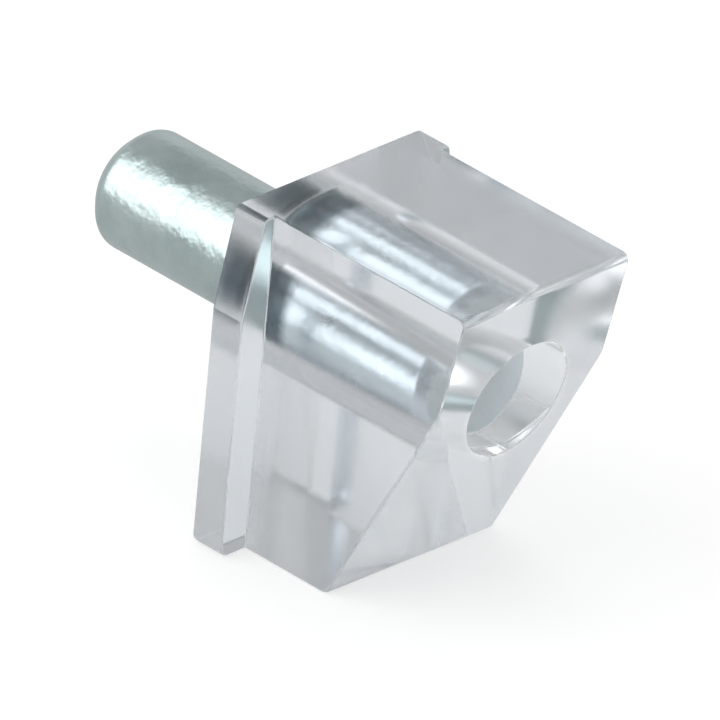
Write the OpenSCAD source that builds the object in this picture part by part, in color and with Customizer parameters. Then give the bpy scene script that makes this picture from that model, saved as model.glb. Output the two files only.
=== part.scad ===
// Shelf support pin: a clear moulded support block with a plated steel pin pressed
// into its bore. The pin plugs into a 5 mm hole in the cabinet side, the wall plate
// bears on that side, and the shelf rests on the flat top of the block. Below the pin
// the block narrows on both sides, so that its front is shaped like a shield.
//
// Frame: X runs along the pin, from its free end towards the front of the block.
// Y is the width and Z is up. The origin is on the pin's axis, at the wall face.

/* [Block] */
// Width of the block
block_w = 8.9; // [6.4:0.1:14]
// Length of the shelf rest, from the wall face to its front edge
rest_len = 11.8; // [11.2:0.1:14]
// Height of the shelf rest above the pin's axis
rest_h = 5.3; // [4:0.1:9]
// Length of the foot, the block's narrow bottom face
foot_len = 5.9; // [3:0.1:8]
// Depth of the foot below the pin's axis
foot_drop = 9.2; // [7:0.1:14]

/* [Front] */
// Distance from the wall face to the front's narrow lower edge
tip_x = 9.5; // [8.5:0.1:11]
// Depth of the front's lower edge below the pin's axis
tip_drop = 6.3; // [5:0.1:6.8]
// Width of the front's lower edge
tip_w = 1.3; // [0.8:0.1:2.4]
// Height above the pin's axis at which the front starts to narrow
facet_h = 0.8; // [0:0.1:2]

/* [Wall plate] */
// Thickness of the plate that bears on the cabinet side
plate_t = 1.6; // [1:0.1:2.6]
// How far the plate stands out past each side of the block
ear_w = 1.3; // [0.6:0.1:4]
// Height above the pin's axis at which the plate's sides start to lean in
lean_h = 1.1; // [0:0.1:2]
// How far each side of the plate leans in by its top edge
lean_in = 0.8; // [0.2:0.1:0.9]

/* [Edges] */
// Radius of the front edge of the foot
foot_edge_r = 0.7; // [0.2:0.1:1.2]
// Radius of the front's lower edge
tip_edge_r = 0.3; // [0.1:0.1:0.8]
// Radius of the front edge of the shelf rest
rest_edge_r = 0.3; // [0.1:0.1:0.8]
// Radius of the plate's top corners
plate_top_r = 0.3; // [0.1:0.1:0.5]
// Radius of the plate's bottom corners
plate_foot_r = 0.4; // [0.2:0.1:1]

/* [Pin] */
// Diameter of the pin, for a 5 mm cabinet hole
pin_d = 5; // [3:0.5:5]
// Length of the pin that stands out of the wall face
pin_out = 10.3; // [6:0.1:16]
// Length of the pin inside the block
pin_in = 9; // [6:0.1:9.2]
// Clearance in the bore around the pressed pin, on each side
press_gap = 0.01; // [0:0.005:0.02]
// Depth of the relief neck turned in the pin just inside the wall face
neck_depth = 0.2; // [0.16:0.02:0.4]
// Length of the relief neck
neck_len = 0.5; // [0.3:0.1:1]
// Chamfer on the pin's free end
free_chamfer = 0.7; // [0.2:0.1:1]
// Chamfer on the pin's end inside the block
inner_chamfer = 0.4; // [0.1:0.05:0.5]

/* [Hidden] */
$fn = 96;
over = 1;                               // how far a cutter runs past the faces it cuts
plate_half_w = block_w / 2 + ear_w;
pin_r = pin_d / 2;
neck_r = pin_r - neck_depth;
bore_r = pin_r + press_gap;

// Point on the line from p towards q, at a distance of d from p.
function along(p, q, d) = p + (q - p) * d / norm(q - p);

// Half of the corner's angle at p, between the lines to its neighbours a and b.
function half_angle(a, p, b) =
    acos((a - p) * (b - p) / (norm(a - p) * norm(b - p))) / 2;

// Centre of the arc of radius r that rounds the corner at p.
function arc_centre(a, p, b, r) =
    let (middle = along(p, a, 1) + along(p, b, 1) - p)
    along(p, middle, r / sin(half_angle(a, p, b)));

// Convex outline through points, with the corner at points[i] rounded to radii[i].
module rounded_outline(points, radii) {
    count = len(points);
    function before(i) = points[(i + count - 1) % count];
    function after(i) = points[(i + 1) % count];
    function cut(i) = radii[i] / tan(half_angle(before(i), points[i], after(i)));

    polygon([
        for (i = [0:count - 1])
            each radii[i] > 0
                ? [along(points[i], before(i), cut(i)), along(points[i], after(i), cut(i))]
                : [points[i]]
    ]);
    for (i = [0:count - 1]) {
        if (radii[i] > 0) {
            translate(arc_centre(before(i), points[i], after(i), radii[i]))
                circle(r = radii[i]);
        }
    }
}

// Side view of the block, with X to the right and Z up.
module block_outline() {
    rounded_outline(
        [[0, -foot_drop], [foot_len, -foot_drop], [tip_x, -tip_drop], [rest_len, rest_h], [0, rest_h]],
        [0, foot_edge_r, tip_edge_r, rest_edge_r, 0]
    );
}

// Rear view of the wall plate, with Y to the right and Z up.
module plate_outline() {
    top_half_w = plate_half_w - lean_in;
    rounded_outline(
        [
            [-plate_half_w, -foot_drop], [plate_half_w, -foot_drop], [plate_half_w, lean_h],
            [top_half_w, rest_h], [-top_half_w, rest_h], [-plate_half_w, lean_h]
        ],
        [plate_foot_r, plate_foot_r, 0, plate_top_r, plate_top_r, 0]
    );
}

// Everything outside the facet that narrows the front on the -Y side. The facet is flat
// and runs through the front's side edge, the foot's front corner and the end of the tip.
module facet_cutter() {
    front_x = rest_len - (rest_len - tip_x) * (rest_h - facet_h) / (rest_h + tip_drop);
    start = [front_x, -block_w / 2, facet_h];
    foot_corner = [foot_len, -block_w / 2, -foot_drop];
    tip_end = [tip_x, -tip_w / 2, -tip_drop];
    across = cross(foot_corner - start, tip_end - start);
    outward = across / norm(across);
    size = 2 * (rest_h + foot_drop);
    translate(start)
        rotate([0, -asin(outward[2]), atan2(outward[1], outward[0])])
            translate([0, -size / 2, -size / 2])
                cube(size);
}

module block() {
    difference() {
        translate([0, block_w / 2, 0])
            rotate([90, 0, 0])
                linear_extrude(block_w)
                    block_outline();
        facet_cutter();
        mirror([0, 1, 0])
            facet_cutter();
    }
}

module wall_plate() {
    rotate([90, 0, 90])
        linear_extrude(plate_t)
            plate_outline();
}

// Bore for the pin, from the wall face right through the front.
module bore() {
    rotate([0, 90, 0])
        translate([0, 0, -over])
            cylinder(r = bore_r, h = rest_len + 2 * over);
}

module support_body() {
    color([0.86, 0.88, 0.9, 0.45])
        difference() {
            union() {
                block();
                wall_plate();
            }
            bore();
        }
}

// Turned pin with a chamfer on both ends and a relief neck where the free length ends
// and the pressed length begins. Its inner end stays a little behind the front.
module steel_pin() {
    color("silver")
        rotate([0, 90, 0])
            rotate_extrude()
                polygon([
                    [0, -pin_out],
                    [pin_r - free_chamfer, -pin_out],
                    [pin_r, free_chamfer - pin_out],
                    [pin_r, 0],
                    [neck_r, 0],
                    [neck_r, neck_len],
                    [pin_r, neck_len],
                    [pin_r, pin_in - inner_chamfer],
                    [pin_r - inner_chamfer, pin_in],
                    [0, pin_in]
                ]);
}

support_body();
steel_pin();
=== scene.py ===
import math

import bmesh
import bpy
from mathutils import Matrix, Vector


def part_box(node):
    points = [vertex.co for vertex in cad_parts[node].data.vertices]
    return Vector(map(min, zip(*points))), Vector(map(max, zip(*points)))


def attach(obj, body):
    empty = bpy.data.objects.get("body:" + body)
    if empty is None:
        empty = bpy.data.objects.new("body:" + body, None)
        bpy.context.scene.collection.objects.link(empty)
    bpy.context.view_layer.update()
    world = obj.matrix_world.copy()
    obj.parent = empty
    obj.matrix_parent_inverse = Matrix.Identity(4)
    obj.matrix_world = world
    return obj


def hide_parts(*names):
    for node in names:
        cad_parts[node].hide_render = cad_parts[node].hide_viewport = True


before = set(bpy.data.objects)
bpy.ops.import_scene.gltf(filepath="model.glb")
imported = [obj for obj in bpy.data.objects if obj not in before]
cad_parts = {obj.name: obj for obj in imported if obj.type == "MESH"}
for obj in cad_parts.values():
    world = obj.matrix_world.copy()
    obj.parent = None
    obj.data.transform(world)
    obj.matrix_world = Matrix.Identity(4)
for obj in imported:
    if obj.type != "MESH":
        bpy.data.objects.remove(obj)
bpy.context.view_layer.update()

MM = 0.001
FINE = 1000     # pieces are cut and rounded this many times larger, so that small edges stay exact

# The frame's own boxes: the block with its plate, and the pin.
body_low, body_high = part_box("support_body")
pin_low, pin_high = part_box("steel_pin")

# Sizes of the moulding that its box doesn't give, in metres.
PLATE_T = 1.6 * MM
EAR_W = 1.3 * MM
LEAN_H = 1.1 * MM
LEAN_IN = 0.8 * MM
FOOT_LEN = 5.9 * MM
REST_LEN = 11.8 * MM
TIP_X = 9.5 * MM
TIP_DROP = 6.3 * MM
TIP_W = 1.3 * MM
FACET_H = 0.8 * MM
FOOT_EDGE_R = 0.7 * MM
TIP_EDGE_R = 0.3 * MM
REST_EDGE_R = 0.3 * MM
PLATE_TOP_R = 0.3 * MM
PLATE_FOOT_R = 0.4 * MM
BLOCK_HALF_W = body_high[1] - EAR_W
PLATE_HALF_W = body_high[1]
MOULD_EDGE_R = 0.10 * MM
BORE_GAP = 0.03 * MM

# Sizes of the pin.
PIN_R = 2.5 * MM
PIN_OUT = -pin_low[0]
PIN_IN = pin_high[0]
FREE_CHAMFER = 0.7 * MM
INNER_CHAMFER = 0.4 * MM
NECK_DEPTH = 0.2 * MM
NECK_LEN = 0.5 * MM
PIN_EDGE_R = 0.25 * MM

# How finely round shapes are divided, and which faces and edges count as flat or sharp.
TURN_SIDES = 256
CORNER_STEPS = 10
FRONT_CORNER_STEPS = 4
TURNED_CORNER_STEPS = 5
EDGE_STEPS = 3
FLAT_DEGREES = 0.2
ROUNDED_DEGREES = 30
SHARP_MOULD_DEGREES = 26
SHARP_PIN_DEGREES = 50
SAME_POINT = 1e-3
BROAD_FACE_AREA = 2 * MM * MM

# Colours of the plastic and of the steel.
PLASTIC_TINT = (0.82, 0.855, 0.89, 1)
BORE_TINT = (0.97, 0.985, 1, 1)
ZINC_DULL = (0.49, 0.59, 0.59, 1)
ZINC_BRIGHT = (0.58, 0.675, 0.675, 1)
# Painted shade: the pin's root inside the wall plate is painted near black, where shade falls
# between the parts.
PIN_ROOT_PAINTED_SHADE = (0.09, 0.14, 0.165, 1)
# Painted light: a brighter copy of the zinc for the pressed length, so that its reflections seen
# through the plastic read bright.
PIN_PAINTED_BRIGHT = (0.71, 0.765, 0.785, 1)
WHITE = (1, 1, 1, 1)
FLOOR_GREY = (0.5, 0.5, 0.5, 1)
PLASTIC_IOR = 1.49

# Camera direction round the part and the roll of the picture, in degrees. The distance is
# in metres, and the part takes up the given share of the picture.
VIEW_AZIMUTH = -47.4
VIEW_ELEVATION = 29.2
VIEW_ROLL = 5.3
VIEW_DISTANCE = 1.0
VIEW_FILL = 0.74
VIEW_CLIP = (0.1, 20)

# The room's even light, and what it gains or loses round a direction: the direction, the
# cosine at the patch's rim, the cosine where it is full, and the strength there.
ROOM_LIGHT = 0.68
SOFTBOX = ((-0.42, -0.73, 0.53), 0.76, 0.95, 1.45)
CEILING = ((-0.50, 0.30, 0.81), 0.75, 0.95, -0.2)
DARK_WALL = ((0.80, -0.25, 0.50), 0.6, 0.9, -0.25)

# The floor: half its width, its gap under the foot, and its glow for each kind of ray.
FLOOR_HALF_W = 0.6
FLOOR_GAP = 0.02 * MM
FLOOR_GLOW = (("Is Camera Ray", 0.62), ("Is Glossy Ray", 0.15), ("Is Transmission Ray", 0.3))

# The lamp over the floor, in metres and watts.
LAMP_PLACE = (-0.1, 0.1, 0.45)
LAMP_SIZE = 0.3
LAMP_POWER = 0.3
LIGHT_BOUNCES = 32


# ---- Geometry helpers -------------------------------------------------------

def rounded_outline(points, radii, steps):
    """The convex outline through 2-D points with each corner rounded to its radius."""
    outline = []
    count = len(points)
    for i, radius in enumerate(radii):
        corner = Vector(points[i])
        if radius == 0:
            outline.append(corner)
            continue
        back = (Vector(points[i - 1]) - corner).normalized()
        ahead = (Vector(points[(i + 1) % count]) - corner).normalized()
        half = back.angle(ahead) / 2
        middle = (back + ahead).normalized()
        centre = corner + middle * radius / math.sin(half)
        start = corner + back * radius / math.tan(half) - centre
        turn = start.angle_signed(corner + ahead * radius / math.tan(half) - centre)
        for k in range(steps + 1):
            outline.append(centre + Matrix.Rotation(-turn * k / steps, 2) @ start)
    return outline


def mesh_object(name, vertices, faces, scale=1):
    """A mesh object with its face normals pointing out."""
    mesh = bpy.data.meshes.new(name)
    mesh.from_pydata([tuple(Vector(v) * scale) for v in vertices], [], faces)
    work = bmesh.new()
    work.from_mesh(mesh)
    bmesh.ops.recalc_face_normals(work, faces=work.faces)
    work.to_mesh(mesh)
    work.free()
    piece = bpy.data.objects.new(name, mesh)
    bpy.context.scene.collection.objects.link(piece)
    return piece


def prism(name, outline, low, high, place):
    """The outline drawn out from low to high; place(u, v, w) gives the 3-D point."""
    count = len(outline)
    vertices = [place(u, v, w) for w in (low, high) for u, v in outline]
    faces = [list(range(count)), list(range(count, 2 * count))]
    for i in range(count):
        j = (i + 1) % count
        faces.append([i, j, count + j, count + i])
    return mesh_object(name, vertices, faces, FINE)


def soften(points, radius):
    """The inner points of an open profile, each corner replaced by a small arc."""
    result = []
    for before, corner, after in zip(points, points[1:], points[2:]):
        corner = Vector(corner)
        back = Vector(before) - corner
        ahead = Vector(after) - corner
        reach = min(radius, 0.45 * back.length, 0.45 * ahead.length)
        start = corner + back.normalized() * reach
        end = corner + ahead.normalized() * reach
        for k in range(TURNED_CORNER_STEPS + 1):
            t = k / TURNED_CORNER_STEPS
            result.append(tuple((1 - t) ** 2 * start + 2 * t * (1 - t) * corner + t * t * end))
    return result


def turned(name, profile):
    """The profile of (x, radius) pairs turned about the X axis, closed at both ends."""
    sides = TURN_SIDES
    vertices = []
    for x, radius in profile:
        for i in range(sides):
            angle = 2 * math.pi * i / sides
            vertices.append((x, radius * math.cos(angle), radius * math.sin(angle)))
    faces = [list(range(sides)), list(range((len(profile) - 1) * sides, len(profile) * sides))]
    for k in range(len(profile) - 1):
        for i in range(sides):
            j = (i + 1) % sides
            faces.append([k * sides + i, k * sides + j, (k + 1) * sides + j, (k + 1) * sides + i])
    return mesh_object(name, vertices, faces, FINE)


def bake_modifiers(piece):
    """Replaces the piece's mesh by what its modifiers make, and removes them."""
    graph = bpy.context.evaluated_depsgraph_get()
    mesh = bpy.data.meshes.new_from_object(piece.evaluated_get(graph))
    piece.modifiers.clear()
    piece.data = mesh


def combine(piece, other, operation):
    """Joins other to the piece or cuts it out, and deletes other."""
    boolean = piece.modifiers.new("combine", "BOOLEAN")
    boolean.operation = operation
    boolean.solver = "MANIFOLD"
    boolean.object = other
    bake_modifiers(piece)
    bpy.data.objects.remove(other)


def clean_mesh(piece, join_flat_faces):
    """Joins points that fall together and, if asked, faces that lie in one plane."""
    work = bmesh.new()
    work.from_mesh(piece.data)
    bmesh.ops.remove_doubles(work, verts=work.verts, dist=SAME_POINT)
    if join_flat_faces:
        flat = math.radians(FLAT_DEGREES)
        bmesh.ops.dissolve_limit(work, angle_limit=flat, verts=work.verts, edges=work.edges)
    work.to_mesh(piece.data)
    work.free()


def round_edges(piece, width):
    """Rounds every edge of the piece that is clearly sharp."""
    bevel = piece.modifiers.new("edge_round", "BEVEL")
    bevel.width = width * FINE
    bevel.segments = EDGE_STEPS
    bevel.limit_method = "ANGLE"
    bevel.angle_limit = math.radians(ROUNDED_DEGREES)
    bevel.use_clamp_overlap = False
    bake_modifiers(piece)
    clean_mesh(piece, False)


def corner_angle(mesh, polygon, place):
    """The angle of the polygon's corner at its place-th vertex."""
    here = mesh.vertices[polygon.vertices[place]].co
    before = mesh.vertices[polygon.vertices[place - 1]].co
    after = mesh.vertices[polygon.vertices[(place + 1) % len(polygon.vertices)]].co
    return (before - here).angle(after - here, 0)


def finish_mesh(piece, sharp_angle):
    """Brings a piece to its real size and sets its normals: flat on broad faces, smooth on arcs.

    Clear plastic shows every flaw of its normals, so a small face takes the normal of a
    broad neighbour where they meet, and elsewhere the mean of the faces round the point.
    """
    mesh = piece.data
    mesh.transform(Matrix.Scale(1 / FINE, 4))
    mesh.materials.clear()
    limit = math.radians(sharp_angle)
    broad = {p.index for p in mesh.polygons if p.area > BROAD_FACE_AREA}
    around = {}
    for polygon in mesh.polygons:
        polygon.use_smooth = True
        polygon.material_index = 0
        for place, vertex in enumerate(polygon.vertices):
            around.setdefault(vertex, []).append((polygon, corner_angle(mesh, polygon, place)))
    normals = []
    for polygon in mesh.polygons:
        for vertex in polygon.vertices:
            if polygon.index in broad:
                normals.append(polygon.normal.copy())
                continue
            near = [
                (other, weight) for other, weight in around[vertex]
                if other.normal.angle(polygon.normal, 0) < limit
            ]
            near = [pair for pair in near if pair[0].index in broad] or near
            normals.append(sum((other.normal * w for other, w in near), Vector()).normalized())
    mesh.normals_split_custom_set(normals)


# ---- The two pieces ---------------------------------------------------------

def facet_cutter(hand):
    """A box outside the flat facet that narrows the block's front on one side, -1 or 1."""
    rest_h = body_high[2]
    front_x = REST_LEN - (REST_LEN - TIP_X) * (rest_h - FACET_H) / (rest_h + TIP_DROP)
    start = Vector((front_x, hand * BLOCK_HALF_W, FACET_H))
    foot_corner = Vector((FOOT_LEN, hand * BLOCK_HALF_W, body_low[2]))
    tip_end = Vector((TIP_X, hand * TIP_W / 2, -TIP_DROP))
    outward = (foot_corner - start).cross(tip_end - start) * -hand
    turn = Vector((1, 0, 0)).rotation_difference(outward)
    size = 2 * (body_high[2] - body_low[2])
    corners = [(x, y, z) for x in (0, 1) for y in (-0.5, 0.5) for z in (-0.5, 0.5)]
    return mesh_object(
        "facet", [start + turn @ (Vector(corner) * size) for corner in corners],
        [[0, 1, 3, 2], [4, 5, 7, 6], [0, 1, 5, 4], [2, 3, 7, 6], [0, 2, 6, 4], [1, 3, 7, 5]], FINE,
    )


def make_block():
    """The block: its side view across the width, narrowed by a facet on each side."""
    side = rounded_outline(
        [
            (0, body_low[2]), (FOOT_LEN, body_low[2]), (TIP_X, -TIP_DROP),
            (REST_LEN, body_high[2]), (0, body_high[2]),
        ],
        [0, FOOT_EDGE_R, TIP_EDGE_R, REST_EDGE_R, 0], FRONT_CORNER_STEPS,
    )
    block = prism(
        "clear_support", side, -BLOCK_HALF_W, BLOCK_HALF_W, lambda x, z, y: (x, y, z)
    )
    for hand in (-1, 1):
        combine(block, facet_cutter(hand), "DIFFERENCE")
    return block


def make_plate():
    """The wall plate, whose sides lean in towards the top."""
    top_half_w = PLATE_HALF_W - LEAN_IN
    rear = rounded_outline(
        [
            (-PLATE_HALF_W, body_low[2]), (PLATE_HALF_W, body_low[2]), (PLATE_HALF_W, LEAN_H),
            (top_half_w, body_high[2]), (-top_half_w, body_high[2]), (-PLATE_HALF_W, LEAN_H),
        ],
        [PLATE_FOOT_R, PLATE_FOOT_R, 0, PLATE_TOP_R, PLATE_TOP_R, 0], CORNER_STEPS,
    )
    return prism("wall_plate", rear, 0, PLATE_T, lambda y, z, x: (x, y, z))


def make_body():
    """The clear moulding: block and wall plate in one, with the bore right through."""
    body = make_block()
    combine(body, make_plate(), "UNION")
    clean_mesh(body, True)
    bore_r = PIN_R + BORE_GAP
    beyond = 2 * MM
    bore = turned("bore", [(-beyond, bore_r), (REST_LEN + beyond, bore_r)])
    combine(body, bore, "DIFFERENCE")
    clean_mesh(body, True)
    round_edges(body, MOULD_EDGE_R)
    finish_mesh(body, SHARP_MOULD_DEGREES)
    return body


def make_pin():
    """The turned steel pin: softened chamfers at both ends and the relief neck in the wall."""
    face = 0.2 * PIN_R
    free_end = soften(
        [
            (-PIN_OUT, face), (-PIN_OUT, PIN_R - FREE_CHAMFER),
            (-PIN_OUT + FREE_CHAMFER, PIN_R), (0, PIN_R),
        ],
        PIN_EDGE_R,
    )
    neck = soften(
        [
            (-PIN_EDGE_R, PIN_R), (0, PIN_R), (0, PIN_R - NECK_DEPTH),
            (NECK_LEN, PIN_R - NECK_DEPTH), (NECK_LEN, PIN_R), (NECK_LEN + PIN_EDGE_R, PIN_R),
        ],
        0.2 * PIN_EDGE_R,
    )
    inner_end = soften(
        [
            (NECK_LEN, PIN_R), (PIN_IN - INNER_CHAMFER, PIN_R),
            (PIN_IN, PIN_R - INNER_CHAMFER), (PIN_IN, face),
        ],
        0.3 * PIN_EDGE_R,
    )
    pin = turned("plated_pin", [(-PIN_OUT, face), *free_end, *neck, *inner_end, (PIN_IN, face)])
    finish_mesh(pin, SHARP_PIN_DEGREES)
    return pin


# ---- Materials --------------------------------------------------------------

def new_material(name):
    material = bpy.data.materials.new(name)
    material.use_nodes = True
    tree = material.node_tree
    return material, tree, tree.nodes["Principled BSDF"]


def node(tree, kind, **settings):
    made = tree.nodes.new(kind)
    for key, value in settings.items():
        setattr(made, key, value)
    return made


def remap(tree, value, low, high, to_low, to_high, smooth=False):
    """A Map Range node's result."""
    step = node(tree, "ShaderNodeMapRange")
    if smooth:
        step.interpolation_type = "SMOOTHSTEP"
    tree.links.new(value, step.inputs["Value"])
    step.inputs["From Min"].default_value = low
    step.inputs["From Max"].default_value = high
    step.inputs["To Min"].default_value = to_low
    step.inputs["To Max"].default_value = to_high
    return step.outputs["Result"]


def mix_colour(tree, factor, first, second):
    """Goes from first to second, each a colour or a socket, as the factor goes from 0 to 1."""
    made = node(tree, "ShaderNodeMix", data_type="RGBA")
    tree.links.new(factor, made.inputs["Factor"])
    for name, colour in (("A", first), ("B", second)):
        if isinstance(colour, tuple):
            made.inputs[name].default_value = colour
        else:
            tree.links.new(colour, made.inputs[name])
    return made.outputs["Result"]


def noise(tree, scale, detail, stretch=(1, 1, 1)):
    """Noise over the object's own coordinates."""
    place = node(tree, "ShaderNodeTexCoord")
    mapping = node(tree, "ShaderNodeMapping")
    mapping.inputs["Scale"].default_value = stretch
    tree.links.new(place.outputs["Object"], mapping.inputs["Vector"])
    texture = node(tree, "ShaderNodeTexNoise")
    texture.inputs["Scale"].default_value = scale
    texture.inputs["Detail"].default_value = detail
    tree.links.new(mapping.outputs["Vector"], texture.inputs["Vector"])
    return texture.outputs["Fac"]


def bump(tree, height, strength, distance, normal=None):
    made = node(tree, "ShaderNodeBump")
    made.inputs["Strength"].default_value = strength
    made.inputs["Distance"].default_value = distance
    tree.links.new(height, made.inputs["Height"])
    if normal is not None:
        tree.links.new(normal, made.inputs["Normal"])
    return made.outputs["Normal"]


def math_node(tree, operation, first, second):
    made = node(tree, "ShaderNodeMath", operation=operation)
    tree.links.new(first, made.inputs[0])
    tree.links.new(second, made.inputs[1])
    return made.outputs[0]


def total(tree, values):
    """The sum of the values."""
    result = values[0]
    for value in values[1:]:
        result = math_node(tree, "ADD", result, value)
    return result


def facing(tree, direction, centre):
    """How nearly a direction of the world points along centre, as a cosine."""
    made = node(tree, "ShaderNodeVectorMath", operation="DOT_PRODUCT")
    tree.links.new(direction, made.inputs[0])
    made.inputs[1].default_value = Vector(centre).normalized()
    return made.outputs["Value"]


def outside_bore(tree):
    """0 on the bore's wall, which the moulding core leaves glassy, and 1 away from it."""
    place = node(tree, "ShaderNodeTexCoord")
    radial = node(tree, "ShaderNodeVectorMath", operation="MULTIPLY")
    tree.links.new(place.outputs["Object"], radial.inputs[0])
    radial.inputs[1].default_value = (0, 1, 1)
    distance = node(tree, "ShaderNodeVectorMath", operation="LENGTH")
    tree.links.new(radial.outputs["Vector"], distance.inputs[0])
    return remap(tree, distance.outputs["Value"], PIN_R + 0.1 * MM, PIN_R + 0.3 * MM, 0.1, 1)


def clear_plastic():
    """Clear moulded plastic: satin on the wall side and the foot, glassy in the bore."""
    material, tree, shader = new_material("clear_plastic")
    outside = outside_bore(tree)
    tree.links.new(mix_colour(tree, outside, BORE_TINT, PLASTIC_TINT), shader.inputs["Base Color"])
    shader.inputs["Transmission Weight"].default_value = 1
    shader.inputs["IOR"].default_value = PLASTIC_IOR
    outward = node(tree, "ShaderNodeNewGeometry").outputs["True Normal"]
    rear, under = [
        remap(tree, facing(tree, outward, direction), 0.8, 0.95, 0, 0.15)
        for direction in ((-1, 0, 0), (0, 0, -1))
    ]
    satin = math_node(tree, "MAXIMUM", rear, under)
    polish = remap(tree, noise(tree, 450, 3), 0.35, 0.7, 0.14, 0.22)
    polish = math_node(tree, "MULTIPLY", polish, outside)
    tree.links.new(total(tree, [satin, polish]), shader.inputs["Roughness"])
    flow = noise(tree, 220, 1, (1, 1, 0.5))
    tree.links.new(bump(tree, flow, 0.25, 0.02 * MM), shader.inputs["Normal"])
    return material


def plated_steel():
    """Zinc-plated steel with fine turning rings, shallow pits and a cloudy polish.

    Painted light: the pressed length is a brighter copy of the zinc, so that its reflections seen
    through the plastic read bright, and its root in the wall plate is painted near black as shade.
    """
    material, tree, shader = new_material("plated_steel")
    shader.inputs["Metallic"].default_value = 1
    cloud = noise(tree, 600, 4)
    place = node(tree, "ShaderNodeSeparateXYZ")
    tree.links.new(node(tree, "ShaderNodeTexCoord").outputs["Object"], place.inputs[0])
    zinc_and_painted_light = mix_colour(tree, remap(tree, cloud, 0.35, 0.65, 0, 1), ZINC_DULL, ZINC_BRIGHT)
    # Painted shade: from the wall plate's rear face on, the pin is painted near black as shade
    # inside the plate.
    painted_shade_in_plate = remap(tree, place.outputs["X"], 0, 0.1 * MM, 0, 1)
    zinc_and_painted_light = mix_colour(tree, painted_shade_in_plate, zinc_and_painted_light, PIN_ROOT_PAINTED_SHADE)
    # Painted light: the pressed length inside the block gets a brighter copy of the zinc, standing
    # in for brighter reflections.
    painted_bright_pressed = remap(tree, place.outputs["X"], PLATE_T - 0.3 * MM, PLATE_T + 0.2 * MM, 0, 1)
    zinc_and_painted_light = mix_colour(tree, painted_bright_pressed, zinc_and_painted_light, PIN_PAINTED_BRIGHT)
    tree.links.new(zinc_and_painted_light, shader.inputs["Base Color"])
    tree.links.new(remap(tree, cloud, 0.3, 0.7, 0.24, 0.34), shader.inputs["Roughness"])
    rings = bump(tree, noise(tree, 1500, 3, (6, 0.4, 0.4)), 0.15, 0.01 * MM)
    pits = bump(tree, noise(tree, 1800, 2), 0.5, 0.1 * MM, rings)
    tree.links.new(pits, shader.inputs["Normal"])
    return material


# ---- Studio -----------------------------------------------------------------

def camera_axes():
    """The camera's right, up and backward directions."""
    azimuth, elevation = math.radians(VIEW_AZIMUTH), math.radians(VIEW_ELEVATION)
    roll = math.radians(VIEW_ROLL)
    back = Vector((
        math.cos(azimuth) * math.cos(elevation),
        math.sin(azimuth) * math.cos(elevation),
        math.sin(elevation),
    ))
    level = Vector((0, 0, 1)).cross(back).normalized()
    upright = back.cross(level)
    right = level * math.cos(roll) + upright * math.sin(roll)
    return right, back.cross(right), back


def make_camera(pieces):
    """A long lens that holds the whole part in the middle of the picture."""
    right, up, back = camera_axes()
    graph = bpy.context.evaluated_depsgraph_get()
    points = [v.co for piece in pieces for v in piece.evaluated_get(graph).to_mesh().vertices]
    across = [p.dot(right) for p in points]
    along = [p.dot(up) for p in points]
    depth = sum(p.dot(back) for p in points) / len(points)
    span = max(max(across) - min(across), max(along) - min(along))
    centre = (
        right * (max(across) + min(across)) / 2
        + up * (max(along) + min(along)) / 2
        + back * depth
    )
    data = bpy.data.cameras.new("camera")
    camera = bpy.data.objects.new("camera", data)
    bpy.context.scene.collection.objects.link(camera)
    data.lens = data.sensor_width * VIEW_DISTANCE * VIEW_FILL / span
    data.clip_start, data.clip_end = VIEW_CLIP
    axes = Matrix((right, up, back)).transposed().to_4x4()
    camera.matrix_world = Matrix.Translation(centre + back * VIEW_DISTANCE) @ axes
    bpy.context.scene.camera = camera


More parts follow.
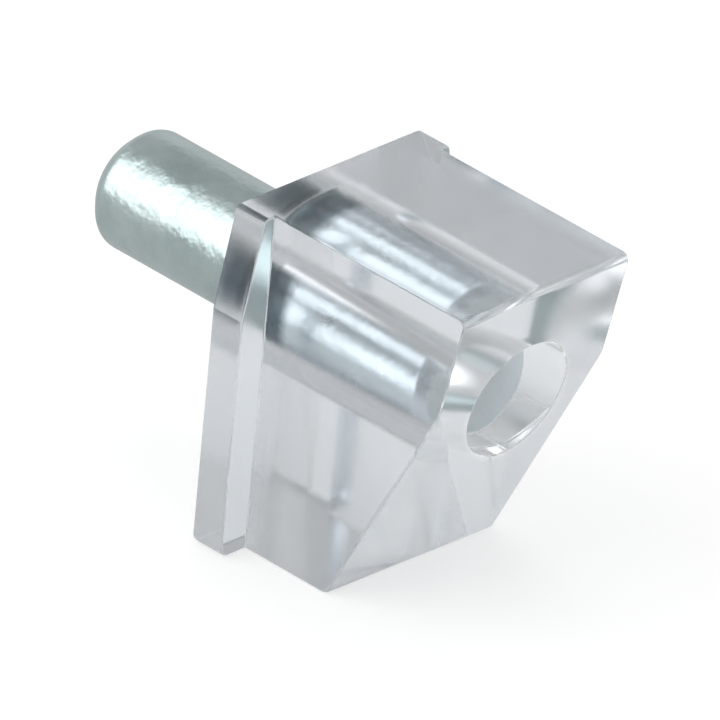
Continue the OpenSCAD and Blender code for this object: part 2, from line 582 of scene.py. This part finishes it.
def make_world():
    """A pale, even room with one broad softbox. The camera itself sees it white."""
    world = bpy.data.worlds.new("studio")
    bpy.context.scene.world = world
    world.use_nodes = True
    tree = world.node_tree
    place = node(tree, "ShaderNodeTexCoord").outputs["Generated"]
    room = node(tree, "ShaderNodeValue")
    room.outputs[0].default_value = ROOM_LIGHT
    patches = [
        remap(tree, facing(tree, place, direction), rim, full, 0, strength, smooth=True)
        for direction, rim, full, strength in (SOFTBOX, CEILING, DARK_WALL)
    ]
    light = total(tree, [room.outputs[0], *patches])
    rays = node(tree, "ShaderNodeLightPath")
    seen = node(tree, "ShaderNodeMix", data_type="FLOAT")
    tree.links.new(rays.outputs["Is Camera Ray"], seen.inputs["Factor"])
    tree.links.new(light, seen.inputs["A"])
    seen.inputs["B"].default_value = 1
    background = tree.nodes["Background"]
    background.inputs["Color"].default_value = WHITE
    tree.links.new(seen.outputs["Result"], background.inputs["Strength"])


def make_floor():
    """A wide pale floor at the foot's level.

    Its glow is seen by the camera and, fainter, in the steel and the plastic. It lights nothing.
    """
    size = FLOOR_HALF_W
    z = body_low[2] - FLOOR_GAP
    floor = mesh_object(
        "floor", [(-size, -size, z), (size, -size, z), (size, size, z), (-size, size, z)],
        [[0, 1, 2, 3]],
    )
    material, tree, shader = new_material("floor_white")
    shader.inputs["Base Color"].default_value = FLOOR_GREY
    shader.inputs["Roughness"].default_value = 0.9
    shader.inputs["Specular IOR Level"].default_value = 0
    shader.inputs["Emission Color"].default_value = WHITE
    rays = node(tree, "ShaderNodeLightPath")
    glows = [remap(tree, rays.outputs[ray], 0, 1, 0, strength) for ray, strength in FLOOR_GLOW]
    tree.links.new(total(tree, glows), shader.inputs["Emission Strength"])
    floor.data.materials.append(material)


def make_lamp():
    """A broad soft lamp above and behind the part, for its shadow on the floor."""
    data = bpy.data.lights.new("overhead", "AREA")
    data.shape = "SQUARE"
    data.size = LAMP_SIZE
    data.energy = LAMP_POWER
    lamp = bpy.data.objects.new("overhead", data)
    lamp.location = LAMP_PLACE
    lamp.rotation_euler = (-lamp.location).to_track_quat("-Z", "Y").to_euler()
    lamp.visible_glossy = False
    bpy.context.scene.collection.objects.link(lamp)


def allow_light_paths():
    """Lets light bounce as often inside the clear block as it does in the real one."""
    cycles = bpy.context.scene.cycles
    cycles.max_bounces = LIGHT_BOUNCES
    cycles.glossy_bounces = LIGHT_BOUNCES
    cycles.transmission_bounces = LIGHT_BOUNCES


# ---- Assembly ---------------------------------------------------------------

support = make_body()
support.data.materials.append(clear_plastic())
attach(support, "root")
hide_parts("support_body")

pin = make_pin()
pin.data.materials.append(plated_steel())
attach(pin, "root")
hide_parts("steel_pin")

make_camera([support, pin])
make_world()
make_floor()
make_lamp()
allow_light_paths()
bpy.context.scene.view_settings.view_transform = "Standard"
